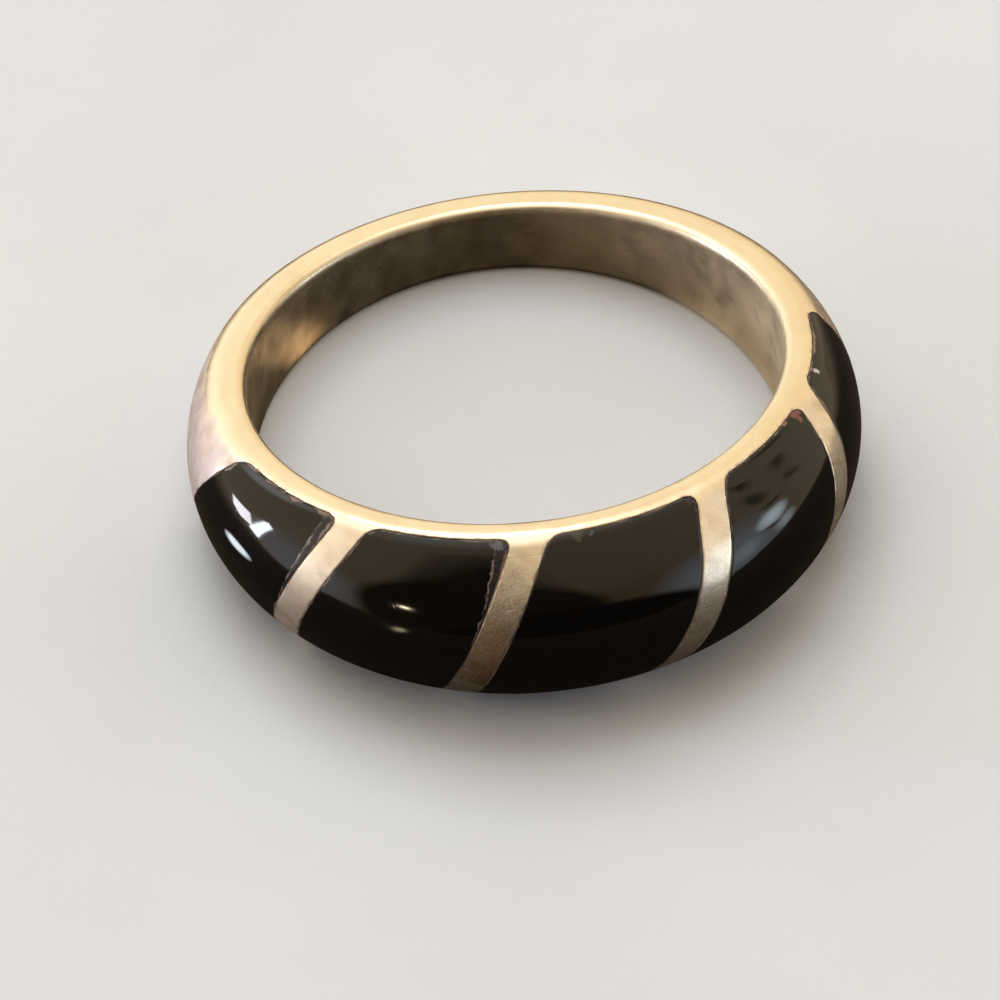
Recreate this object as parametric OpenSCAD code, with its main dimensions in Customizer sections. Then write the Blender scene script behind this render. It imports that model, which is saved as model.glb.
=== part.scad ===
// A tapered silver finger ring, inlaid round its front with five domed black onyx panels.
// The panels sit between four leaning silver bars, on the silver wall of the finger hole.
// The ring lies on its side. The front, where it is widest and thickest, faces -Y.
// The origin is where the axis of the finger hole meets the surface that the ring lies on.

/* [Finger hole] */
// Inside diameter of the finger hole
bore_d = 17.3; // [16.9:0.1:17.7]
// Bevel where the finger hole meets each side face
bore_bevel = 0.12; // [0.08:0.02:0.2]

/* [Band] */
// Thickness from the finger hole to the top of the dome, midway between front and back
mid_thickness = 2.2; // [2.1:0.05:2.4]
// Shift of the dome toward the front, which makes the front thicker than the back
dome_shift = 0.85; // [0.7:0.05:0.9]
// Width from side face to side face, at the axis of the finger hole
mid_width = 4.62; // [4.5:0.02:4.8]
// Lean of each side face, in degrees, which makes the front wider than the back
side_lean = 6.28; // [6:0.02:6.5]

/* [Dome] */
// Radius of the dome's crown, across the band
crown_r = 3; // [2.9:0.05:3.1]
// Slope at which the crown runs out into straight flanks, in degrees
flank_slope = 48.5; // [46:0.5:52]

/* [Inlay] */
// Angles of the four silver bars round the finger hole, from the middle of the front
bar_angles = [-51.7, -18, 17.7, 52.2]; // [-60:0.1:60]
// Lean of each bar from straight across the band, in degrees: its upper end lies to the right
bar_leans = [24, 24.5, 28, 27.5]; // [22:0.5:30]
// Angles of the two ends of the inlay
end_angles = [-84.6, 82.4]; // [-88:0.1:88]
// Lean of each end
end_leans = [32, 26.5]; // [24:0.5:34]
// Width of a bar at the surface
bar_w = 1; // [0.8:0.05:1.2]
// Thickness of the silver wall inside the inlay, midway between front and back
wall_t = 0.95; // [0.85:0.05:1]
// Shift of that wall's outer face toward the back, which makes the wall thinner at the front
wall_shift = 0.17; // [0.1:0.01:0.2]
// Radius in the corners where a bar meets the wall
corner_r = 0.4; // [0.3:0.05:0.5]
// Gap between an onyx panel and the silver round it
stone_gap = 0.03; // [0.02:0.01:0.05]

/* [Hidden] */
$fn = 96;
bore_r = bore_d / 2;
side_slope = tan(side_lean);
// Borders of the inlay from left to right, an end, the four bars and an end: the angle, the lean
// and half the width of each, where an end is a bare cut with no width
borders = [
  [end_angles[0], end_leans[0], 0],
  for (i = [0 : 3]) [bar_angles[i], bar_leans[i], bar_w / 2],
  [end_angles[1], end_leans[1], 0],
];
// Reach past the outermost surface, for the cutting solids
reach = bore_r + mid_thickness + dome_shift + 2;
// Half width of the band at a distance toward the back from the hole's axis
function half_width(back) = mid_width / 2 - side_slope * back;

// Section of the dome: a round crown between two straight flanks, filled in to the axis
module dome_section() {
  // The flanks start this much inside the crown, so that they cross it and don't only touch it
  sink = 0.002;
  crown_x = bore_r + mid_thickness - crown_r;
  edge_x = crown_x + (crown_r - sink) * cos(flank_slope);
  edge_y = (crown_r - sink) * sin(flank_slope);
  far_y = half_width(-reach);
  far_x = edge_x - (far_y - edge_y) * tan(flank_slope);
  translate([crown_x, 0]) circle(crown_r);
  polygon([[0, -far_y], [far_x, -far_y], [edge_x, -edge_y], [edge_x, edge_y], [far_x, far_y], [0, far_y]]);
}

// The whole outside of the ring, before the finger hole
module blank() {
  intersection() {
    translate([0, -dome_shift, 0]) rotate_extrude() dome_section();
    rotate([90, 0, 90]) linear_extrude(2 * reach, center = true)
      polygon([[-reach, -half_width(-reach)], [reach, -half_width(reach)],
        [reach, half_width(reach)], [-reach, half_width(-reach)]]);
  }
}

// The finger hole, with a bevel that stands square to each side face
module finger_hole() {
  lead = 0.5;
  cylinder(h = 4 * mid_width, r = bore_r, center = true);
  for (up = [0, 1]) mirror([0, 0, up]) translate([0, 0, mid_width / 2]) rotate([-side_lean, 0, 0])
    translate([0, 0, -bore_bevel - lead])
      cylinder(h = 2 * lead, r1 = bore_r - lead, r2 = bore_r + lead);
}

// All that lies to one side of a border: side 1 is to its right, side -1 to its left
module beside_border(i, side, gap) {
  rotate([0, 0, borders[i][0]]) rotate([0, borders[i][1], 0])
    translate([side * (borders[i][2] + gap), 0, 0]) mirror([(1 - side) / 2, 0, 0])
      translate([0, -reach, -reach / 2]) cube(reach);
}

// The silver that rounds a cell's corner, where a border meets the wall at a side face:
// up is 1 at the upper face and -1 at the lower one
module corner_fill(i, side, up, gap) {
  angle = borders[i][0];
  lean = borders[i][1];
  wall_r = bore_r + wall_t + gap;
  // The rounding is sunk this much, so that it crosses the wall and doesn't only touch it
  sink = 0.004;
  round_r = corner_r - gap;
  face_z = up * half_width(-wall_r * cos(angle));
  // Centres of the wall and of the rounding, in a frame turned to the border, where -Y is outward
  wall_c = wall_shift * [sin(angle), cos(angle)];
  border_x = (side * (borders[i][2] + gap) + face_z * sin(lean)) / cos(lean);
  round_x = border_x + side * (round_r - sink);
  round_y = wall_c.y - sqrt(pow(wall_r + round_r - sink, 2) - pow(round_x - wall_c.x, 2));
  foot = wall_c + ([round_x, round_y] - wall_c) * (wall_r - corner_r) / (wall_r + round_r);
  back_x = border_x - side * 2 * corner_r;
  out_y = round_y - gap;
  past = [side * gap, 0];
  rotate([0, 0, angle]) translate([0, 0, face_z]) linear_extrude(4 * corner_r + 2 * gap, center = true)
    difference() {
      polygon([[back_x, out_y], [round_x, out_y] + past, foot + past, [back_x, foot.y]]);
      translate([round_x, round_y]) circle(round_r);
    }
}

// The place of a panel: what lies between two borders, outside the wall, less a gap all round
module cell(i, gap) {
  difference() {
    intersection() {
      beside_border(i, 1, gap);
      beside_border(i + 1, -1, gap);
    }
    translate([0, wall_shift, 0]) cylinder(h = reach, r = bore_r + wall_t + gap, center = true);
    for (up = [-1, 1]) {
      corner_fill(i, 1, up, gap);
      corner_fill(i + 1, -1, up, gap);
    }
  }
}

// Lays the ring down on its lower side face
module lying_down() {
  translate([0, mid_width / 2 * sin(side_lean), mid_width / 2 * cos(side_lean)])
    rotate([-side_lean, 0, 0]) children();
}

module band() {
  color("silver") lying_down() difference() {
    blank();
    finger_hole();
    for (i = [0 : 4]) cell(i, 0);
  }
}

module onyx(i) {
  color("black") lying_down() intersection() {
    blank();
    cell(i, stone_gap);
  }
}

band();
onyx(0);  // onyx_1
onyx(1);  // onyx_2
onyx(2);  // onyx_3
onyx(3);  // onyx_4
onyx(4);  // onyx_5
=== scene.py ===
# %% [markdown]
# # An onyx band ring
# A silver finger ring lies on its side. Its front is domed, and five panels of black onyx are set
# into it between four leaning silver bars. The packed model gives the true sizes, and this script
# dresses it. All lengths are worked out in millimetres, as a jeweller measures, and laid in metres.

# %% Load the packed model
import bpy
import math
import numpy as np
from mathutils import Matrix, Quaternion, Vector


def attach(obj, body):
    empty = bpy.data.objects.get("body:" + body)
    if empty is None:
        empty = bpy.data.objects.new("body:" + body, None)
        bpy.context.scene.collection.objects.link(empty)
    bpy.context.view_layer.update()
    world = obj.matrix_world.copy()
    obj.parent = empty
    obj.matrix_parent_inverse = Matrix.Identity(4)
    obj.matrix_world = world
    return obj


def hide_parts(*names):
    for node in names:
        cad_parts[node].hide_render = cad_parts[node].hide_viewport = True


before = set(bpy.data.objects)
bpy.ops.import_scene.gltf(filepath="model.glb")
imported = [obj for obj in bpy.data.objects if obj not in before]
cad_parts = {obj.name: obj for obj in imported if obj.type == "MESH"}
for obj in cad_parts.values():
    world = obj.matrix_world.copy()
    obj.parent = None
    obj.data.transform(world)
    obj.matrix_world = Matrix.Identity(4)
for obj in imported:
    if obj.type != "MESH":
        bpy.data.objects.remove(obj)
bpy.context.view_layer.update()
bpy.ops.object.select_all(action="DESELECT")
scene = bpy.context.scene
MM = 0.001
print("nodes:", sorted(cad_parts))

# %% [markdown]
# ## The measures
# The ring is described upright, with the axis of its finger hole along Z and its front toward -Y,
# because there every border is a plain angle and a lean. These are the sizes of the packed model,
# but its sharp edges are rounded here, and the dome's straight flanks get a slight curve.

# %% Name the ring's measures
bore_r = 8.65
# Across the dome: a round crown about a point this far out, then a very shallow arc from a slope on
crown_r, crown_x, flank_slope, flank_r = 3.0, 7.85, math.radians(46), 20.0
# The dome is centred this far back, which makes the front thicker
dome_back = -0.85
side_lean = math.radians(6.28)
mid_half_width = 2.31
# The silver wall inside the inlay, its shift to the back, and the corners where a bar meets it
wall_r, wall_back = 9.60, 0.17
corner_r = 0.40
stone_gap = 0.03
# Each border of the inlay from left to right: its angle, its lean and half its bar's width
borders = [(-84.6, 32.0, 0.0), (-51.7, 24.0, 0.5), (-18.0, 24.5, 0.5),
           (17.7, 28.0, 0.5), (52.2, 27.5, 0.5), (82.4, 26.5, 0.0)]
# Softened edges: where a side face turns into the dome, and round the finger hole, where the
# rounding grows from its front value to its back one over a length that starts at a place
rim_round, bore_round_front, bore_round_back = 0.23, 0.13, 0.32
bore_round_start, bore_round_length = -6.0, 10.0
# The onyx, and the silver beside it, turn down at their edges with this radius
edge_round = 0.035
print("bars:", len(borders) - 2, "panels:", len(borders) - 1)

# %% [markdown]
# ## The camera
# The photo looks down on the ring from the front, a little from its left. The values below come
# from fitting the ring's edges to the picture: how high the camera stands, how far it is turned
# and rolled, and how far away it is for its long lens.

# %% Set up the camera
camera_up, camera_turn, camera_roll = (math.radians(a) for a in (48.52, 10.46, -2.86))
camera_distance, pixels_per_mm = 252.0, 30.9482
photo_size, sensor_size = 1000, 36
aim_right, aim_back = -0.7186, -1.6277
ring_lift = (mid_half_width * math.sin(side_lean), mid_half_width * math.cos(side_lean))

look = Vector((0, math.cos(camera_up), -math.sin(camera_up)))
level_up = Vector((0, math.sin(camera_up), math.cos(camera_up)))
right = math.cos(camera_roll) * Vector((1, 0, 0)) + math.sin(camera_roll) * level_up
upward = -math.sin(camera_roll) * Vector((1, 0, 0)) + math.cos(camera_roll) * level_up
place = Vector((aim_right, aim_back, 0)) - camera_distance * look
turn_back = Matrix.Rotation(-camera_turn, 3, "Z")
camera_at = (turn_back @ place + Vector((0, ring_lift[0], 0))) * MM
facing = Matrix([turn_back @ right, turn_back @ upward, turn_back @ -look]).transposed()

bpy.ops.object.camera_add(location=camera_at, rotation=facing.to_euler())
camera = bpy.context.object
camera.name = "photo_camera"
camera.data.sensor_width = sensor_size
camera.data.lens = sensor_size * pixels_per_mm * camera_distance / photo_size
camera.data.clip_start, camera.data.clip_end = 0.01, 20
scene.camera = camera
print("camera at", [round(v, 4) for v in camera_at], "lens", round(camera.data.lens, 1))

# %% [markdown]
# ## One function for the ring's skin
# A worn ring has no sharp corner: its flat sides roll over into the dome, and into the finger hole.
# Cutting such edges with booleans leaves slivers that show in a mirror finish. So the skin is
# written as a depth instead, which is zero on the surface and grows inward. Two depths are joined
# with a rounding, as a polishing wheel would join them.

# %% Describe the skin as a depth
# The dome starts this far in from a side face, and has taken over this much further on
dome_start, dome_length = 0.02, 0.25


def rounded_corner(depth_a, depth_b, radius):
    """The depth under two surfaces at once, with the corner between them rolled over."""
    near = np.hypot(np.maximum(radius - depth_a, 0), np.maximum(radius - depth_b, 0))
    return np.maximum(radius, np.minimum(depth_a, depth_b)) - near


def side_depth(p):
    """Depth below the nearer of the two leaning side faces."""
    half_width = mid_half_width - math.tan(side_lean) * p[..., 1]
    return (half_width - np.abs(p[..., 2])) * math.cos(side_lean)


def outside_depth(p):
    """Depth below the dome and the two side faces, for points in an array of x, y, z."""
    x, y, z = p[..., 0], p[..., 1], np.abs(p[..., 2])
    out = np.hypot(x, y - dome_back) - crown_x
    on_crown = np.arctan2(z, out) < flank_slope
    deeper = flank_r - crown_r
    flank = np.hypot(out + deeper * math.cos(flank_slope), z + deeper * math.sin(flank_slope))
    dome = np.where(on_crown, crown_r - np.hypot(out, z), flank_r - flank)
    return rounded_corner(dome, side_depth(p), rim_round)


def skin_depth(p):
    """Depth below the whole skin, the finger hole included."""
    bore = np.hypot(p[..., 0], p[..., 1]) - bore_r
    toward_back = np.clip((p[..., 1] - bore_round_start) / bore_round_length, 0, 1)
    bore_round = bore_round_front + toward_back * (bore_round_back - bore_round_front)
    return rounded_corner(outside_depth(p), bore, bore_round)


def dome_share(p):
    """How much of the skin at a point is dome, from 0 on a side face to 1."""
    return np.clip((side_depth(p) - dome_start) / dome_length, 0, 1)


def inward(p):
    """The direction that goes straight in from the skin."""
    steps = 1e-4 * np.eye(3)
    slope = np.stack([skin_depth(p + step) - skin_depth(p - step) for step in steps], axis=-1)
    return slope / np.linalg.norm(slope, axis=-1, keepdims=True)


front_top = np.array([0.0, dome_back - crown_x - crown_r, 0.0])
print("depth at the top of the dome:", float(outside_depth(front_top)))

# %% [markdown]
# ## Sections that lean like the bars
# A section is a flat cut through the ring. If every section leans as the bars do, each bar edge is
# one section, and the mesh has a clean line of edges along it. Between two borders the angle and
# the lean pass evenly from one to the other. Near a border they crowd together, because the
# softened edge there is only a few hundredths of a millimetre wide.

# %% Lay out the sections
# How far in from an edge the rows of a mesh lie, and a distance that is clear of every edge
edge_steps = [0.0, 0.006, 0.016, 0.035, 0.08, 0.16, 0.27, 0.4]
clear = 9.0
# The number of sections between those, in each panel and round the back
panel_sections = [34, 38, 40, 38, 32]
back_sections = 130


def sections_between(i, gap, count):
    """Sections from the right of border i to the left of the next one, and how far each is in."""
    (a0, l0, h0), (a1, l1, h1) = borders[i], borders[(i + 1) % len(borders)]
    a1 += 360 if a1 < a0 else 0
    last = edge_steps[-1]
    rows = [(a0, l0, h0 + gap + e, e) for e in edge_steps]
    for t in np.linspace(0, 1, count + 2)[1:-1]:
        offset = (1 - t) * (h0 + gap + last) - t * (h1 + gap + last)
        rows.append((a0 + t * (a1 - a0), l0 + t * (l1 - l0), offset, clear))
    rows += [(a1, l1, -(h1 + gap + e), e) for e in reversed(edge_steps)]
    return np.array(rows)


def sections_across_bar(i):
    """Sections over bar i, from its left side to its right side."""
    angle, lean, half = borders[i]
    half_steps = [e for e in edge_steps if e < half] + [half]
    offsets = [e - half for e in half_steps] + [half - e for e in reversed(half_steps[:-1])]
    return np.array([(angle, lean, offset, clear) for offset in offsets])


def on_section(rows, out, across):
    """Points on sections, from their distance outward and their place across the band."""
    angle, lean = np.radians(rows[:, 0])[:, None], np.radians(rows[:, 1])[:, None]
    offset = rows[:, 2][:, None]
    x = offset * np.cos(lean) + across * np.sin(lean)
    z = -offset * np.sin(lean) + across * np.cos(lean)
    return np.stack([x * np.cos(angle) + out * np.sin(angle),
                     x * np.sin(angle) - out * np.cos(angle), z], axis=-1)


print("sections in the widest panel:", len(sections_between(2, stone_gap, panel_sections[2])))

# %% [markdown]
# ## The outline of a section
# From a point in the middle of a section, rays go out all round until they meet the skin. The
# outline is then stepped off in even strides, with shorter ones where it turns quickly, so that a
# softened edge gets as many faces as a wide flat one.

# %% Trace and step off the outlines
# The rays of a section: how many, where they start between finger hole and dome, how far they may
# go, and how often that distance is halved to find the skin
rays = 720
ray_start, ray_reach, halvings = 0.45, 7.0, 34
# A turn of one radian counts as this much length
turn_length = 0.16
# This many of the edge steps are taken at both ends of a line
crowded = 6
# On the wall, under a panel, the points are drawn in to this share of their place across the band
wall_share = 0.97


def lengths_along(line):
    """How far each point lies along its line, for one line or for a grid of them."""
    stride = np.linalg.norm(np.diff(line, axis=-2), axis=-1)
    start = np.zeros((*stride.shape[:-1], 1))
    return np.concatenate([start, np.cumsum(stride, axis=-1)], axis=-1)


def at_lengths(line, marks):
    """The points at the given lengths along a line."""
    along = lengths_along(line)
    return np.stack([np.interp(marks, along, line[:, k]) for k in range(3)], axis=1)


def skin_loop(rows):
    """The skin's outline on each section, from the finger hole over the upper face and back."""
    turn = np.radians(rows[:, 0])[:, None]
    middle = bore_r + ray_start * (crown_x + crown_r - bore_r - dome_back * np.cos(turn))
    ray = np.linspace(math.pi, -math.pi, rays + 1)[None, :]
    near, far = np.zeros((len(rows), rays + 1)), np.full((len(rows), rays + 1), ray_reach)
    for _ in range(halvings):
        mid = (near + far) / 2
        inside = skin_depth(on_section(rows, middle + mid * np.cos(ray), mid * np.sin(ray))) > 0
        near, far = np.where(inside, mid, near), np.where(inside, far, mid)
    return on_section(rows, middle + near * np.cos(ray), near * np.sin(ray))


def stepped(line, start, stop, count):
    """Points along a line between two of its lengths, crowded at both ends and where it turns."""
    edges, along = np.diff(line, axis=0), lengths_along(line)
    length = np.linalg.norm(edges, axis=1)
    heading = edges / length[:, None]
    turned = np.arccos(np.clip((heading[1:] * heading[:-1]).sum(axis=1), -1, 1))
    stride = length + turn_length * np.concatenate([[0], turned])
    measure = np.concatenate([[0], np.cumsum(stride)])
    ends = np.array(edge_steps[:crowded])
    first, last = start + ends, stop - ends[::-1]
    low, high = np.interp([first[-1], last[0]], along, measure)
    between = np.linspace(low, high, count - 2 * crowded + 2)[1:-1]
    return at_lengths(line, np.concatenate([first, np.interp(between, measure, along), last]))


def rim_radius(rows, gap):
    """How far out the wall of the finger hole reaches on each section, rounded at a corner."""
    radius = corner_r - gap
    into = np.minimum(rows[:, 3], radius)
    return wall_r + gap + radius - np.sqrt(radius ** 2 - (radius - into) ** 2)


def rim_marks(line, reach):
    """The two lengths where an outline is as far out as the wall reaches, and its whole length."""
    out, along = np.hypot(line[:, 0], line[:, 1] - wall_back), lengths_along(line)
    beyond = np.nonzero(out > reach)[0]
    marks = []
    for a, b in ((beyond[0] - 1, beyond[0]), (beyond[-1] + 1, beyond[-1])):
        share = (reach - out[a]) / (out[b] - out[a])
        marks.append(along[a] + share * (along[b] - along[a]))
    return marks[0], marks[1], along[-1]


def on_wall(row, reach, skin_row):
    """Points on the wall's outer face under a skin row, drawn in a little from both faces."""
    angle, lean = math.radians(row[0]), math.radians(row[1])
    turned_x = skin_row[:, 0] * math.cos(angle) + skin_row[:, 1] * math.sin(angle)
    across = wall_share * (turned_x * math.sin(lean) + skin_row[:, 2] * math.cos(lean))
    centre_x, centre_y = wall_back * math.sin(angle), wall_back * math.cos(angle)
    x = row[2] * math.cos(lean) + across * math.sin(lean)
    out = np.sqrt(reach ** 2 - (x - centre_x) ** 2) - centre_y
    return on_section(row[None, :], out[None, :], across[None, :])[0]


bar_rows = sections_across_bar(2)
print("sections over a bar:", len(bar_rows), "points on an outline:", skin_loop(bar_rows).shape[1])

# %% [markdown]
# ## The outlines of the panels
# The edge of each panel is needed as a line in space, to soften the onyx along it and the silver
# round it, and to lay the cement. It runs along both rims and up both borders.

# %% Trace each panel's outline
# Points over a panel from rim to rim, and from rim to rim through the finger hole
over_count, inner_count = 50, 62
outline_spacing = 0.02
# Distances are worked out for about this many points at a time, to save memory
batch = 2000


def panel_grid(i, gap):
    """The skin over one panel as rows of points, each row one section from rim to rim."""
    rows = sections_between(i, gap, panel_sections[i])
    loops, reaches = skin_loop(rows), rim_radius(rows, gap)
    grid = []
    for loop, reach in zip(loops, reaches):
        first, last, _ = rim_marks(loop, reach)
        grid.append(stepped(loop, first, last, over_count))
    return rows, reaches, np.array(grid)


def outline(grid, spacing=outline_spacing):
    """The closed line round a grid of points, with its own points at an even spacing."""
    line = np.concatenate([grid[:, 0], grid[-1, 1:], grid[-2::-1, -1], grid[0, -2::-1]])
    return at_lengths(line, np.arange(0, lengths_along(line)[-1], spacing))


def distance_to(points, line):
    """The distance from each point to the nearest point of a line."""
    nearest = np.empty(len(points))
    for part in np.array_split(np.arange(len(points)), max(1, len(points) // batch)):
        gaps = points[part][:, None, :] - line[None, :, :]
        nearest[part] = np.sqrt((gaps ** 2).sum(axis=2).min(axis=1))
    return nearest


def softened(points, from_edge):
    """Points moved in where they are nearer to an edge than its rounding."""
    into = np.clip(from_edge, 0, edge_round)
    drop = edge_round - np.sqrt(edge_round ** 2 - (edge_round - into) ** 2)
    return points + drop[:, None] * inward(points)


cells = [panel_grid(i, 0.0) for i in range(len(panel_sections))]
cell_lines = [outline(grid) for _, _, grid in cells]
print("outline lengths, mm:", [round(len(line) * outline_spacing, 1) for line in cell_lines])

# %% [markdown]
# ## From a flat grid to a laid piece
# Every piece starts as a flat grid. Where a point lies in that grid gives its row and its column,
# which say where it goes on the ring. The points are then moved there all at once, turned so that
# the ring lies on its side face, and a few measures are kept with them for the finishes to read.

# %% Put the ring's own millimetres into the shared frame
# Points this near to each other are one point, and an edge that turns more than this stays crisp
merge_gap, crisp_angle = 0.0005 * MM, math.radians(50)


def laid_down(points):
    """The upright ring laid on its lower side face, in metres."""
    c, s = math.cos(side_lean), math.sin(side_lean)
    x, y, z = points[..., 0], points[..., 1], points[..., 2]
    return np.stack([x, y * c + z * s + ring_lift[0], -y * s + z * c + ring_lift[1]], axis=-1) * MM


def sheet(name, across, along):
    """A flat grid with the given numbers of points across and along it."""
    bpy.ops.object.select_all(action="DESELECT")
    bpy.ops.mesh.primitive_grid_add(x_subdivisions=across - 1, y_subdivisions=along - 1, size=1)
    piece = bpy.context.object
    piece.name = piece.data.name = name
    return piece


def address(piece, across, along):
    """The column, row and layer of each point of a flat grid, read from where it lies."""
    flat = np.empty(len(piece.data.vertices) * 3)
    piece.data.vertices.foreach_get("co", flat)
    flat = flat.reshape(-1, 3)
    column = np.rint((flat[:, 0] + 0.5) * (across - 1)).astype(int)
    row = np.rint((flat[:, 1] + 0.5) * (along - 1)).astype(int)
    return column, row, (flat[:, 2] > 0.5).astype(int)


def lay_points(piece, points):
    """Move each point of a mesh to its place on the ring."""
    piece.data.vertices.foreach_set("co", laid_down(points).ravel())


def add_measure(piece, name, values):
    """Keep a number for each point of a mesh, for its material to read."""
    measure = piece.data.attributes.new(name, "FLOAT", "POINT")
    measure.data.foreach_set("value", np.asarray(values, dtype=np.float32))


def add_grain(piece, round_it, over_it):
    """A UV map in millimetres round and across the ring, so that scratches can follow it."""
    corner_points = np.empty(len(piece.data.loops), dtype=int)
    piece.data.loops.foreach_get("vertex_index", corner_points)
    places = np.stack([round_it, over_it], axis=1)
    grain = piece.data.uv_layers[0] if piece.data.uv_layers else piece.data.uv_layers.new()
    grain.name = "grain"
    grain.data.foreach_set("uv", places[corner_points].astype(np.float32).ravel())


def tidy_mesh(piece):
    """Merge the seams of a mesh, turn its faces outward and shade it smoothly."""
    bpy.ops.object.select_all(action="DESELECT")
    bpy.context.view_layer.objects.active = piece
    piece.select_set(True)
    bpy.ops.object.mode_set(mode="EDIT")
    bpy.ops.mesh.select_all(action="SELECT")
    bpy.ops.mesh.remove_doubles(threshold=merge_gap)
    bpy.ops.mesh.normals_make_consistent(inside=False)
    bpy.ops.object.mode_set(mode="OBJECT")
    bpy.ops.object.shade_smooth_by_angle(angle=crisp_angle)
    piece.select_set(False)
    print(piece.name, len(piece.data.vertices), "points,", len(piece.data.polygons), "faces")


print("the ring is lifted", [round(v, 3) for v in ring_lift], "mm as it is laid down")

# %% [markdown]
# ## The silver band
# The band is one casting: the wall of the finger hole, the plain back and the four bars. It is
# made from a flat grid, rolled up as a jeweller rolls sheet: each row of the grid is laid round one
# leaning section, and the seams are merged. Over a panel's place a row runs along the sunk wall,
# and over a bar it climbs the dome.

# %% Make the band
# Round the back, where the ring is thin, the line between rim and dome lies this much further in.
# The change takes up this share of the way from an end of the inlay to the middle of the back
rim_drop, rim_change = 0.95, 0.35
# The finish of the finger hole reaches this far out from its wall, and fades over this much
bore_margin, bore_fade = 0.16, 0.12


def band_rows():
    """Every section of the band in order, its rim's radius, and whether a panel lies there."""
    rows = []
    for i, (panel_rows, reaches, _) in enumerate(cells):
        rows += [(row, reach, True) for row, reach in zip(panel_rows, reaches)]
        if i + 1 < len(cells):
            rows += [(row, wall_r + corner_r, False) for row in sections_across_bar(i + 1)]
    last = len(borders) - 1
    back = sections_between(last, 0.0, back_sections)
    start, stop = borders[last][0], borders[0][0] + 360
    from_middle = np.abs((back[:, 0] - start) / (stop - start) * 2 - 1)
    change = np.clip((1 - from_middle) / rim_change, 0, 1)
    drop = rim_drop * change * change * (3 - 2 * change)
    return rows + [(row, wall_r + corner_r - d, False) for row, d in zip(back, drop)]


sections = band_rows()
loops = skin_loop(np.array([row for row, _, _ in sections]))
places, sunk = [], []
for (row, reach, under_panel), loop in zip(sections, loops):
    first, last, total = rim_marks(loop, reach)
    # The way round the inside runs from the lower rim through the finger hole to the upper rim
    inside = stepped(np.concatenate([loop, loop[1:]]), last, total + first, inner_count)
    top = stepped(loop, first, last, over_count)
    if under_panel:
        top = on_wall(row, reach, top)
    places.append(np.concatenate([inside, top[1:]]))
    sunk.append([False] * inner_count + [under_panel] * (over_count - 2) + [False])
places, sunk = np.array(places + places[:1]), np.array(sunk + sunk[:1])
rows_round, points_round = sunk.shape
turns = np.radians([row[0] for row, _, _ in sections] + [sections[0][0][0] + 360])

band = sheet("silver_band", points_round, rows_round)
column, row, _ = address(band, points_round, rows_round)
points, under = places[row, column], sunk[row, column]
add_grain(band, turns[row] * wall_r, lengths_along(places)[row, column])
from_edge = np.min([distance_to(points, line) for line in cell_lines], axis=0)
points[~under] = softened(points[~under], from_edge[~under])
lay_points(band, points)
from_bore = np.hypot(points[:, 0], points[:, 1]) - bore_r
add_measure(band, "from_edge", np.where(under, 0.0, from_edge))
add_measure(band, "on_dome", dome_share(points))
add_measure(band, "in_bore", np.clip((bore_margin - from_bore) / bore_fade, 0, 1))
tidy_mesh(band)
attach(band, "root")
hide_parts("band")

# %% [markdown]
# ## The onyx panels
# Each panel is one piece of stone, ground to follow the dome. A flat grid is extruded into a slab,
# and its two faces are laid on the skin and on the silver wall. The polished face turns down at its
# edges, which leaves a fine groove beside the silver, as there is on the real ring.

# %% Make the panels
# Where cement shows on a panel: the width of the wedge beside its right border at the top, how
# much narrower it gets per millimetre down, and how ragged the stone is along its edges
cement_shows = [(0.40, 0.10, 1.0), (0.42, 0.13, 0.55), (0.10, 0.10, 0.35), (0.05, 0.10, 0.6),
                (0.0, 0.10, 0.8)]
# The stone is ragged only down to this length from its upper rim
ragged_length = 2.5


def border_distance(points, border):
    """How far points are to the left of a border's silver, measured square to it."""
    angle, lean, half = borders[border]
    turn, tilt = math.radians(angle), math.radians(lean)
    square = np.array([math.cos(turn) * math.cos(tilt), math.sin(turn) * math.cos(tilt),
                       -math.sin(tilt)])
    return -(points @ square) - half


panels = []
for i, (width, taper, ragged) in enumerate(cement_shows):
    rows, reaches, grid = panel_grid(i, stone_gap)
    bottom = np.array([on_wall(*each) for each in zip(rows, reaches, grid)])
    count_along, count_across = grid.shape[:2]
    flat = grid.reshape(-1, 3)
    from_edge = distance_to(flat, outline(grid))
    top = softened(flat, from_edge).reshape(grid.shape)
    panel = sheet(f"onyx_panel_{i + 1}", count_across, count_along)
    bpy.ops.object.mode_set(mode="EDIT")
    bpy.ops.mesh.select_all(action="SELECT")
    bpy.ops.mesh.extrude_region_move(TRANSFORM_OT_translate={"value": (0, 0, 1)})
    bpy.ops.object.mode_set(mode="OBJECT")
    column, row, layer = address(panel, count_across, count_along)
    points = np.where(layer[:, None] == 1, top[row, column], bottom[row, column])
    lay_points(panel, points)
    down, edge = lengths_along(grid)[row, column], from_edge.reshape(grid.shape[:2])[row, column]
    add_grain(panel, np.radians(rows[row, 0]) * wall_r, down)
    add_measure(panel, "from_edge", np.where(layer == 1, edge, 0.0))
    add_measure(panel, "into_wedge", width - taper * down - border_distance(points, i + 1))
    add_measure(panel, "ragged", ragged * np.clip(1 - down / ragged_length, 0, 1))
    tidy_mesh(panel)
    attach(panel, "root")
    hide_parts(f"onyx_{i + 1}")
    panels.append(panel)

# %% [markdown]
# ## The cement
# The panels are glued in, and a hair of cement fills the groove round each. It is a thin bead:
# a flat grid rolled into a tube along the panel's outline, a little below the skin, whose
# thickness wanders as squeezed glue does.

# %% Make the beads of cement
bead_r, bead_sides, bead_spacing, bead_depth = 0.022, 8, 0.06, 0.02
# Two waves in a bead's thickness: the height of each, its turn per point and its shift per bead
bead_waves = [(0.16, 0.61, 1), (0.12, 1.73, 2)]

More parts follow.
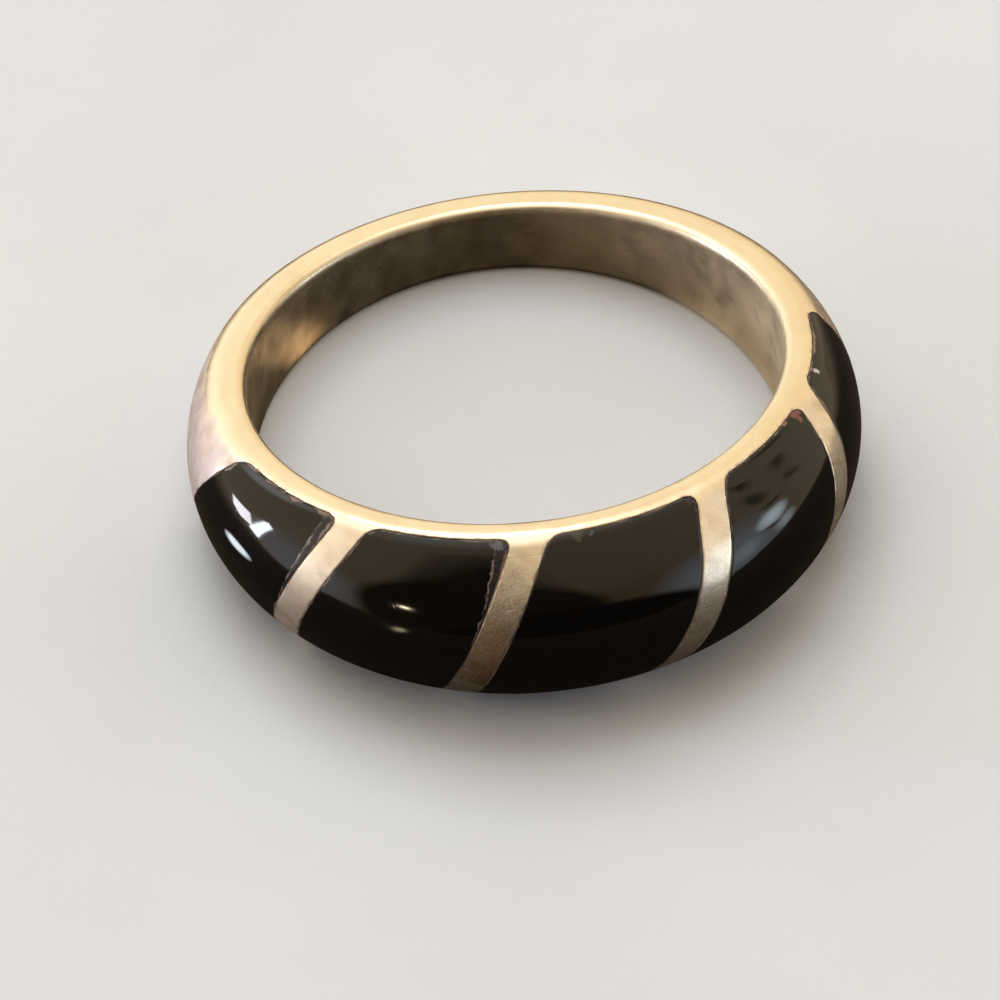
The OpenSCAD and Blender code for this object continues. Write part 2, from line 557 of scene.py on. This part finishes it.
beads = []
for i, (_, _, grid) in enumerate(cells):
    line = outline(grid, bead_spacing)
    ahead = np.roll(line, -1, axis=0) - np.roll(line, 1, axis=0)
    ahead /= np.linalg.norm(ahead, axis=1, keepdims=True)
    down = inward(line)
    aside = np.cross(down, ahead)
    # The middle of the gap lies toward the stone from the edge of the silver
    stone_side = np.sign(((line.mean(axis=0) - line) * aside).sum(axis=1, keepdims=True))
    middle = line + stone_gap / 2 * stone_side * aside + bead_depth * down
    point = np.arange(len(line))
    waves = sum(high * np.sin(point * turn + i * shift) for high, turn, shift in bead_waves)
    turn = np.linspace(0, 2 * math.pi, bead_sides + 1)[None, :, None]
    spoke = np.cos(turn) * down[:, None] + np.sin(turn) * aside[:, None]
    tube = middle[:, None] + (bead_r * (1 + waves))[:, None, None] * spoke
    tube = np.concatenate([tube, tube[:1]])
    bead = sheet(f"cement_{i + 1}", tube.shape[1], tube.shape[0])
    column, row, _ = address(bead, tube.shape[1], tube.shape[0])
    lay_points(bead, tube[row, column])
    tidy_mesh(bead)
    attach(bead, "root")
    beads.append(bead)

# %% [markdown]
# ## Shared effects
# The finishes share two effects. Hairlines are the fine scratches of daily wear: noise that is
# drawn out along one direction and cut off high, so that only thin streaks are left. Mottle is the
# cloudiness of handled metal and stone.

# %% Build the hairline and mottle groups
def add_node(tree, kind, values=None, **settings):
    """A node with its settings and its sockets' values, or links where a socket is given."""
    node = tree.nodes.new(kind)
    for key, value in settings.items():
        setattr(node, key, value)
    for key, value in (values or {}).items():
        if isinstance(value, bpy.types.NodeSocket):
            tree.links.new(value, node.inputs[key])
        else:
            node.inputs[key].default_value = value
    return node


def mixed(tree, mask, under, over):
    """A colour over another where a mask says so. Either may be a socket or plain numbers."""
    under, over = (colour if isinstance(colour, bpy.types.NodeSocket) else (*colour, 1)
                   for colour in (under, over))
    mix = add_node(tree, "ShaderNodeMix", {0: mask, 6: under, 7: over}, data_type="RGBA")
    return mix.outputs[2]


def new_group(name, values):
    """A group that makes a mask from a place and from values, which have these at first."""
    group = bpy.data.node_groups.new(name, "ShaderNodeTree")
    group.interface.new_socket(name="Vector", in_out="INPUT", socket_type="NodeSocketVector")
    for label, value in values.items():
        socket = group.interface.new_socket(name=label, in_out="INPUT",
                                            socket_type="NodeSocketFloat")
        socket.default_value = value
    group.interface.new_socket(name="Mask", in_out="OUTPUT", socket_type="NodeSocketFloat")
    return group, group.nodes.new("NodeGroupInput"), group.nodes.new("NodeGroupOutput")


def hairline_group():
    """Streaks along X, once the place is turned. Rarer streaks are cut from higher noise."""
    stretch, cut_width = (0.025, 1.0, 1.0), 0.05
    group, start, end = new_group("hairlines", {"Turn": 0.0, "Per mm": 20.0, "Rarity": 0.62})
    given = start.outputs
    turned = add_node(group, "ShaderNodeVectorRotate",
                      {"Vector": given["Vector"], "Angle": given["Turn"]}, rotation_type="Z_AXIS")
    drawn = add_node(group, "ShaderNodeVectorMath", {0: turned.outputs[0], 1: stretch},
                     operation="MULTIPLY")
    streak = add_node(group, "ShaderNodeTexNoise",
                      {"Vector": drawn.outputs[0], "Scale": given["Per mm"], "Detail": 1.0,
                       "Roughness": 0.4})
    full = add_node(group, "ShaderNodeMath", {0: given["Rarity"], 1: cut_width}, operation="ADD")
    cut = add_node(group, "ShaderNodeMapRange",
                   {"Value": streak.outputs["Fac"], "From Min": given["Rarity"],
                    "From Max": full.outputs[0]})
    group.links.new(cut.outputs["Result"], end.inputs["Mask"])
    return group


def mottle_group():
    """Clouds: noise that is spread out between a low and a high value."""
    group, start, end = new_group("mottle", {"Per mm": 0.6, "Low": 0.38, "High": 0.62,
                                             "Detail": 4.0})
    given = start.outputs
    cloud = add_node(group, "ShaderNodeTexNoise",
                     {"Vector": given["Vector"], "Scale": given["Per mm"],
                      "Detail": given["Detail"], "Roughness": 0.55})
    spread = add_node(group, "ShaderNodeMapRange",
                      {"Value": cloud.outputs["Fac"], "From Min": given["Low"],
                       "From Max": given["High"]})
    group.links.new(spread.outputs["Result"], end.inputs["Mask"])
    return group


hairlines, mottle = hairline_group(), mottle_group()
print("groups:", hairlines.name, mottle.name)

# %% [markdown]
# ## A small workshop for finishes
# A finish is easier to read as a list of layers than as a tangle of links. These helpers start a
# material, measure places in millimetres, and lay one colour or value over another by a mask.

# %% Helpers for finishes
class Finish:
    """One material and the layers that go into it."""

    def __init__(self, name, roughness, metallic=0.0):
        self.material = bpy.data.materials.new(name)
        self.material.use_nodes = True
        self.tree = self.material.node_tree
        self.shader = self.tree.nodes["Principled BSDF"]
        self.shader.inputs["Metallic"].default_value = metallic
        self.shader.inputs["Roughness"].default_value = roughness
        place = add_node(self.tree, "ShaderNodeTexCoord").outputs["Object"]
        self.mm = add_node(self.tree, "ShaderNodeVectorMath", {0: place, 1: (1 / MM,) * 3},
                           operation="MULTIPLY").outputs[0]

    def measure(self, name):
        """A number that is kept with the points of the mesh."""
        return add_node(self.tree, "ShaderNodeAttribute", attribute_name=name).outputs["Fac"]

    def scratched(self, turn, per_mm, rarity):
        """Hairlines that follow the ring round, at a turn."""
        grain = add_node(self.tree, "ShaderNodeUVMap", uv_map="grain").outputs[0]
        return add_node(self.tree, "ShaderNodeGroup",
                        {"Vector": grain, "Turn": turn, "Per mm": per_mm, "Rarity": rarity},
                        node_tree=hairlines).outputs[0]

    def cloudy(self, per_mm, low=0.38, high=0.62, detail=4.0):
        """Mottle: how many clouds per millimetre, and how hard and how fine they are."""
        return add_node(self.tree, "ShaderNodeGroup",
                        {"Vector": self.mm, "Per mm": per_mm, "Low": low, "High": high,
                         "Detail": detail}, node_tree=mottle).outputs[0]

    def ramp(self, value, low, high, to_low=0.0, to_high=1.0):
        """A value that goes from one number to another as the given one goes from low to high."""
        return add_node(self.tree, "ShaderNodeMapRange",
                        {"Value": value, "From Min": low, "From Max": high, "To Min": to_low,
                         "To Max": to_high}).outputs["Result"]

    def spread(self, mask, to_low, to_high):
        """A value that goes from one number to another as a mask goes from 0 to 1."""
        return self.ramp(mask, 0.0, 1.0, to_low, to_high)

    def maths(self, operation, a, b=0.0):
        """One step of arithmetic on values."""
        return add_node(self.tree, "ShaderNodeMath", {0: a, 1: b}, operation=operation).outputs[0]

    def both(self, mask, other):
        """One mask times another, or times a plain strength."""
        return self.maths("MULTIPLY", mask, other)

    def add_up(self, first, *shares):
        """A value with shares added to it, each a mask and its strength."""
        for mask, strength in shares:
            first = self.maths("ADD", first, self.both(mask, strength))
        return first

    def lay(self, mask, under, over):
        """A colour over another where a mask says so."""
        return mixed(self.tree, mask, under, over)

    def stained(self, colour, wander, stains, core=0.55):
        """Ragged stains over a colour: each has its place and size in mm and its own colour."""
        for place, size, stain in stains:
            away = add_node(self.tree, "ShaderNodeVectorMath", {0: self.mm, 1: place},
                            operation="DISTANCE").outputs["Value"]
            ragged = self.maths("ADD", away, self.spread(wander, -0.4 * size, 0.4 * size))
            colour = self.lay(self.ramp(ragged, size, core * size), colour, stain)
        return colour

    def paint(self, colour, roughness, height, depth):
        """Connect the finished layers, with a relief of the given depth in millimetres."""
        self.tree.links.new(colour, self.shader.inputs["Base Color"])
        self.tree.links.new(roughness, self.shader.inputs["Roughness"])
        bump = add_node(self.tree, "ShaderNodeBump",
                        {"Height": height, "Distance": depth * MM, "Strength": 1.0})
        self.tree.links.new(bump.outputs[0], self.shader.inputs["Normal"])
        return self.material


print("layers that a finish can use:", [name for name in vars(Finish) if name[0] != "_"])

# %% [markdown]
# ## The silver
# Old silver is warm, clouded with faint pink and grey, and covered in hairlines. The finger hole is
# satin, and darker and browner toward its left and back. Tarnish and cement stay in the corner
# beside each panel, and the lower end of the second bar is browner, partly patina and partly
# painted shade.

# %% Make the silver finish
# Brown at the low end of the second bar, partly patina and partly painted shade, and a bare nick
# above it
bar_patina_and_shade = [((-3.4, -10.7, 4.0), 1.6, (0.76, 0.58, 0.40)),
               ((-3.6, -10.9, 3.0), 1.0, (0.55, 0.38, 0.26))]
bar_nicks = [((-2.61, -10.32, 5.19), 0.09, (1.0, 0.95, 0.85))]


def silver_finish():
    metal = Finish("silver", 0.24, metallic=1.0)
    large, small, fine = metal.cloudy(0.45), metal.cloudy(1.6), metal.cloudy(75.0, 0.47, 0.53, 0.0)
    bore, dome, edge = (metal.measure(name) for name in ("in_bore", "on_dome", "from_edge"))
    to_right, back, _ = add_node(metal.tree, "ShaderNodeSeparateXYZ", {0: metal.mm}).outputs
    lines = metal.maths("ADD", metal.scratched(0.35, 7.0, 0.66), metal.scratched(-0.8, 9.0, 0.69))
    bore_lines = metal.both(metal.scratched(0.0, 6.0, 0.50), bore)
    colour = metal.lay(large, (0.97, 0.88, 0.70), (0.94, 0.83, 0.65))
    # The worn left side of the shank is clouded pink and grey, and ragged toward the bright rim
    wander = metal.spread(metal.cloudy(1.3, 0.3, 0.7, 1.0), -0.45, 0.15)
    torn = metal.ramp(metal.maths("ADD", dome, wander), 0.35, 0.50)
    worn = metal.both(torn, metal.ramp(to_right, -4.0, -8.5))
    shank = metal.both(worn, metal.ramp(back, -5.0, -2.0, 0.25, 0.9))
    pink = metal.lay(small, (0.97, 0.87, 0.86), (0.80, 0.73, 0.77))
    mild = metal.both(dome, metal.spread(large, 0.10, 0.45))
    colour = metal.lay(metal.maths("MAXIMUM", shank, mild), colour, pink)
    # Handling has left the bars and the shank with dull brownish patches
    patina = metal.both(dome, metal.cloudy(1.5, 0.46, 0.72))
    colour = metal.lay(metal.both(patina, 0.5), colour, (0.66, 0.53, 0.38))
    # The finger hole is darker and browner, most of all at its left and back, and lighter toward
    # its right
    hole_lighter = metal.maths("ADD", metal.ramp(to_right, 1.0, 6.0), metal.spread(large, -0.25, 0.25))
    hole_colour = metal.lay(metal.ramp(hole_lighter, 0.0, 1.0), (0.30, 0.24, 0.16), (0.97, 0.87, 0.71))
    clouded = metal.lay(metal.cloudy(0.9, 0.30, 0.75), hole_colour, (0.52, 0.45, 0.35))
    colour = metal.lay(bore, colour, clouded)
    # The low end of the second bar is painted browner: partly patina, partly painted shade
    colour = metal.stained(colour, metal.cloudy(1.5, 0.3, 0.7, 3.0), bar_patina_and_shade, core=0.2)
    colour = metal.stained(colour, metal.cloudy(5.0), bar_nicks)
    grime = metal.both(metal.ramp(edge, 0.09, 0.01), metal.cloudy(3.0, 0.44, 0.62))
    colour = metal.lay(metal.both(grime, 0.7), colour, (0.34, 0.22, 0.17))
    # A handled polish is full of tiny scratches: smooth and rough specks, too fine to be seen
    haze = metal.both(bore, metal.ramp(to_right, -6.0, 2.0, 0.02, 0.22))
    roughness = metal.add_up(metal.spread(small, 0.17, 0.23), (haze, 1.0),
                             (metal.both(fine, dome), 0.38), (worn, 0.20), (lines, 0.06))
    swell, dents = metal.cloudy(1.1, 0.3, 0.7, 1.0), metal.cloudy(14.0, 0.3, 0.7, 1.0)
    relief = metal.add_up(metal.both(lines, -0.06), (bore_lines, -0.15), (swell, 0.7),
                          (dents, 0.02))
    return metal.paint(colour, roughness, relief, 0.012)


silver = silver_finish()
band.data.materials.append(silver)
print("silver nodes:", len(silver.node_tree.nodes))

# %% [markdown]
# ## The onyx
# Polished onyx is black and takes a glassy shine, dulled here and there by a smudge. Where a panel
# doesn't quite fill its place, dark cement shows beside it, with a pale seam along the stone.

# %% Make the onyx finish
# Reddish cement in the fourth panel's corner, purple-black in two more, chips and pale smudges
onyx_stains = [((7.89, -4.92, 5.69), 0.30, (0.17, 0.06, 0.05)),
               ((7.4, -5.35, 5.82), 0.16, (0.22, 0.11, 0.08)),
               ((10.09, 0.49, 4.23), 0.22, (0.55, 0.47, 0.42)),
               ((9.12, -2.88, 5.2), 0.13, (0.45, 0.42, 0.38)),
               ((3.66, -8.18, 6.39), 0.25, (0.020, 0.012, 0.035)),
               ((-2.26, -8.7, 6.46), 0.28, (0.020, 0.012, 0.035)),
               ((-2.54, -8.65, 6.40), 0.22, (0.10, 0.09, 0.105)),
               ((-0.05, -8.95, 6.52), 0.17, (0.045, 0.038, 0.026)),
               ((0.42, -8.93, 6.52), 0.10, (0.06, 0.065, 0.075)),
               ((-6.15, -6.83, 6.05), 0.12, (0.07, 0.06, 0.055))]


def onyx_finish():
    stone = Finish("onyx", 0.08)
    stone.shader.inputs["IOR"].default_value = 1.52
    large, small, wander = stone.cloudy(0.35), stone.cloudy(3.0), stone.cloudy(3.0, 0.3, 0.7, 2.0)
    edge, wedge, ragged = (stone.measure(name) for name in ("from_edge", "into_wedge", "ragged"))
    # Cement starts where the stone stops, with a broken pale seam there
    seam_at = stone.maths("ADD", wedge, stone.spread(wander, -0.05, 0.05))
    cement = stone.ramp(seam_at, -0.01, 0.02)
    seam = stone.both(stone.ramp(stone.maths("ABSOLUTE", seam_at), 0.045, 0.015),
                      stone.cloudy(2.6, 0.40, 0.58))
    # The polished face is chipped this far in from its edges
    reach = stone.both(ragged, stone.spread(stone.cloudy(1.5, 0.34, 0.66, 2.0), -0.03, 0.20))
    rough_edge = stone.ramp(stone.maths("SUBTRACT", reach, edge), 0.0, 0.06)
    colour = stone.lay(small, (0.0012, 0.0010, 0.0008), (0.0022, 0.0020, 0.0017))
    colour = stone.lay(cement, colour, (0.010, 0.007, 0.010))
    pale = stone.lay(stone.cloudy(2.0), (0.15, 0.11, 0.085), (0.30, 0.22, 0.19))
    colour = stone.lay(stone.both(seam, 0.8), colour, pale)
    colour = stone.lay(stone.both(rough_edge, 0.85), colour, pale)
    colour = stone.stained(colour, stone.cloudy(5.0), onyx_stains)
    dull = stone.maths("MAXIMUM", seam, rough_edge)
    dull = stone.maths("MAXIMUM", stone.both(cement, 0.45), dull)
    roughness = stone.add_up(stone.spread(large, 0.04, 0.10), (dull, 0.5))
    lines = stone.maths("ADD", stone.scratched(0.5, 6.0, 0.69), stone.scratched(-0.7, 8.0, 0.70))
    swell = stone.cloudy(0.5, 0.3, 0.7, 0.0)
    relief = stone.add_up(stone.both(dull, wander), (swell, 1.3), (lines, -0.03))
    return stone.paint(colour, roughness, relief, 0.012)


onyx = onyx_finish()
for panel in panels:
    panel.data.materials.append(onyx)
print("onyx nodes:", len(onyx.node_tree.nodes))

# %% [markdown]
# ## The cement's finish
# Jeweller's cement is dull and dark, with paler crumbs. It catches no glint, so it only needs a
# clouded colour and a grainy surface.

# %% Make the cement finish
def cement_finish():
    glue = Finish("cement", 0.7)
    colour = glue.lay(glue.cloudy(1.2), (0.025, 0.018, 0.016), (0.16, 0.12, 0.095))
    roughness = glue.spread(glue.cloudy(6.0), 0.55, 0.85)
    return glue.paint(colour, roughness, glue.cloudy(12.0), 0.01)


cement = cement_finish()
for bead in beads:
    bead.data.materials.append(cement)
print("beads finished:", len(beads))

# %% [markdown]
# ## The floor
# The floor is plain pale paper. A mirror shows its surroundings, though, and polished silver over
# something dark looks quite unlike silver over white paper. So the paper is pale only where it is
# seen directly, or lights something softly. In a reflection it is dark, with the glare of windows
# on it, and it is paler toward the back, where it is seen at a flat angle.

# %% Lay the floor
# Glare on the mirrored floor: its place in mm, its turn in degrees, how far it spreads along and
# across that turn, and its glow
floor_glare = [((-17.3, -1.2), 90, (1.6, 2.0), (9.0, 9.5, 10.5)),
               ((-32.0, -30.0), 39, (14.0, 1.2), (6.0, 5.2, 3.6)),
               ((8.2, 2.8), -60, (4.5, 3.0), (0.32, 0.25, 0.17)),
               ((-5.0, 6.25), 27, (1.2, 0.5), (2.2, 1.5, 0.85))]
floor_size = 3


def stretched_distance(tree, place, middle, turn, spread):
    """How far a place is from a middle, where 1 is the edge of a turned and stretched round."""
    local = add_node(tree, "ShaderNodeMapping",
                     {"Vector": place, "Location": middle, "Rotation": turn, "Scale": spread},
                     vector_type="TEXTURE").outputs[0]
    return add_node(tree, "ShaderNodeVectorMath", {0: local}, operation="LENGTH").outputs["Value"]


def paper_finish():
    """Pale paper to look at, but dark, with the glare of windows, where it is mirrored."""
    paper = Finish("paper", 0.9)
    pale = paper.lay(paper.cloudy(0.05), (0.61, 0.64, 0.71), (0.64, 0.67, 0.74))
    mirrored = add_node(paper.tree, "ShaderNodeLightPath").outputs["Is Glossy Ray"]
    back = add_node(paper.tree, "ShaderNodeSeparateXYZ", {0: paper.mm}).outputs[1]
    dark = paper.lay(paper.ramp(back, 8.0, 34.0), (0.035, 0.024, 0.015), (0.45, 0.36, 0.25))
    colour = paper.lay(mirrored, pale, dark)
    glow = (0.0, 0.0, 0.0)
    for middle, turn, spread, glare in floor_glare:
        away = stretched_distance(paper.tree, paper.mm, (*middle, 0), (0, 0, math.radians(turn)),
                                  (*spread, 1))
        glow = paper.lay(paper.both(mirrored, paper.ramp(away, 1.0, 0.5)), glow, glare)
    paper.tree.links.new(glow, paper.shader.inputs["Emission Color"])
    paper.shader.inputs["Emission Strength"].default_value = 1.0
    paper.material.cycles.emission_sampling = "NONE"
    roughness = paper.spread(paper.cloudy(1.0), 0.85, 0.95)
    return paper.paint(colour, roughness, paper.cloudy(4.0), 0.004)


bpy.ops.mesh.primitive_plane_add(size=floor_size)
floor = bpy.context.object
floor.name = "floor"
floor.data.materials.append(paper_finish())
print("patches of glare:", len(floor_glare))

# %% [markdown]
# ## The room
# Lighting a ring means arranging what it sees. The side face that looks up mirrors what stands low
# behind the ring, so the room is warm and bright there, which gives the rims their cream. A pale
# glow to each side lights the worn bars, and dark screens in front give the stones their depth.
# The room is a world shader made of soft round patches, each round a direction, with a few narrow
# dark ripples for the fourth panel to mirror. The plain view transform keeps the tones that were
# worked out for it.

# %% Make the room
world = bpy.data.worlds.new("studio")
scene.world = world
scene.view_settings.view_transform = "Standard"
world.use_nodes = True
room_tree = world.node_tree
seen = add_node(room_tree, "ShaderNodeTexCoord").outputs["Generated"]

# Each patch has a bearing and a height, the two angles that it fades between, and its colour
dim, warm_behind = (0.54, 0.38, 0.20), (0.95, 0.76, 0.50)
patches = {"warm behind": ((85, 20, 75, 120), warm_behind),
           "white wall behind left": ((110, 18, 5, 32), (1.12, 1.10, 0.90)),
           "ceiling": ((110, 70, 10, 38), (1.45, 1.38, 1.20)),
           "left window, upper": ((133, 34, 6, 15), (2.2, 2.15, 2.1)),
           "glow at the left": ((182, 9, 10, 25), (1.25, 1.17, 1.20)),
           "glow at the right": ((-35, 15, 12, 28), (1.20, 1.28, 1.40)),
           "shade": ((26, 39, 2, 8), (0.35, 0.28, 0.15)),
           "right window": ((-13.5, 18, 1, 8), (5.0, 5.8, 6.2)),
           "right window, low corner": ((-13, 5, 1, 6), (2.6, 3.0, 3.2)),
           "right window, lower": ((-31, 12, 3, 9), (1.9, 2.1, 2.2)),
           "upper dark screen": ((-118, 22, 36, 41), (0.06, 0.045, 0.028)),
           "lower dark screen": ((-85, -15, 41, 46), (0.03, 0.022, 0.015))}
# The bearing and height of both ends of each ripple, and their shared half width and colour
ripples = [((-11.0, 39.6), (-2.6, 32.8)), ((0.0, 30.6), (8.5, 22.3)),
           ((-13.0, 37.0), (-2.4, 28.8)), ((0.0, 26.8), (7.5, 18.1)),
           ((-12.0, 30.4), (-1.8, 23.0)), ((-22.5, 16.0), (-13.0, 7.5))]
ripple_width, ripple_colour = 0.022, (0.22, 0.18, 0.10)


def toward(bearing, height):
    """The direction at a bearing from +X and a height, both in degrees."""
    a, h = math.radians(bearing), math.radians(height)
    return Vector((math.cos(a) * math.cos(h), math.sin(a) * math.cos(h), math.sin(h)))


def patch_of_room(bearing, height, inner, outer):
    """A mask for the part of the room round one direction, soft between two angles."""
    facing = add_node(room_tree, "ShaderNodeVectorMath", {0: seen, 1: toward(bearing, height)},
                      operation="DOT_PRODUCT").outputs["Value"]
    return add_node(room_tree, "ShaderNodeMapRange",
                    {"Value": facing, "From Min": math.cos(math.radians(outer)),
                     "From Max": math.cos(math.radians(inner))}).outputs["Result"]


def ripple_in_room(start, end):
    """A mask for a narrow soft stripe of the room between two directions."""
    start, end = toward(*start), toward(*end)
    middle, along = (start + end).normalized(), (end - start).normalized()
    turned = Matrix([along, middle.cross(along), middle]).transposed().to_euler()
    spread = ((end - start).length / 2, ripple_width, 0.5)
    away = stretched_distance(room_tree, seen, middle, turned, spread)
    return add_node(room_tree, "ShaderNodeMapRange",
                    {"Value": away, "From Min": 1.0, "From Max": 0.3}).outputs["Result"]


room = dim
for direction, colour in patches.values():
    room = mixed(room_tree, patch_of_room(*direction), room, colour)
for ends in ripples:
    room = mixed(room_tree, ripple_in_room(*ends), room, ripple_colour)
room_tree.links.new(room, room_tree.nodes["Background"].inputs["Color"])
print("patches in the room:", *patches, sep="\n  ")

# %% [markdown]
# ## The lights
# Flat area lights do what a world patch can't: they are small and very bright. A wide one overhead
# softly lights the floor, and is kept out of reflections, where it would draw a hard white line
# along each rounded edge. One behind picks out the far rim. Two at the left are the panes of a
# window, mirrored as the pair of glints in the first panel, and a small warm lamp is the glint in
# the second.

# %% Place the lights
def softbox(name, bearing, height, distance, size, brightness, colour, tilt=0):
    """A flat light facing the ring: its bearing from +X and its height in degrees, and its glow."""
    place = distance * toward(bearing, height)
    turned = place.to_track_quat("Z", "Y") @ Quaternion((0, 0, 1), math.radians(tilt))
    bpy.ops.object.light_add(type="AREA", location=place, rotation=turned.to_euler())
    light = bpy.context.object
    light.name = name
    light.data.shape = "RECTANGLE"
    light.data.size, light.data.size_y = size
    light.data.energy = brightness * math.pi * size[0] * size[1]
    light.data.color = colour
    return light


overhead = softbox("overhead", 85, 68, 0.7, (0.56, 0.42), 2.2, (0.84, 0.93, 1.0))
overhead.visible_glossy = False
softbox("back_lamp", 92.5, 50, 0.7, (0.17, 0.12), 5.0, (1.0, 0.95, 0.84))
softbox("left_window", 155.7, 3.6, 0.6, (0.115, 0.08), 15.0, (0.95, 0.90, 1.0), tilt=35)
softbox("left_pane", 164, 10, 0.6, (0.045, 0.19), 22.0, (0.86, 0.94, 1.0))
softbox("lamp", -143, 20, 0.5, (0.02, 0.02), 40.0, (1.0, 0.82, 0.58))

# %% [markdown]
# ## The sizes
# The box round the visible ring should be that of the packed model.
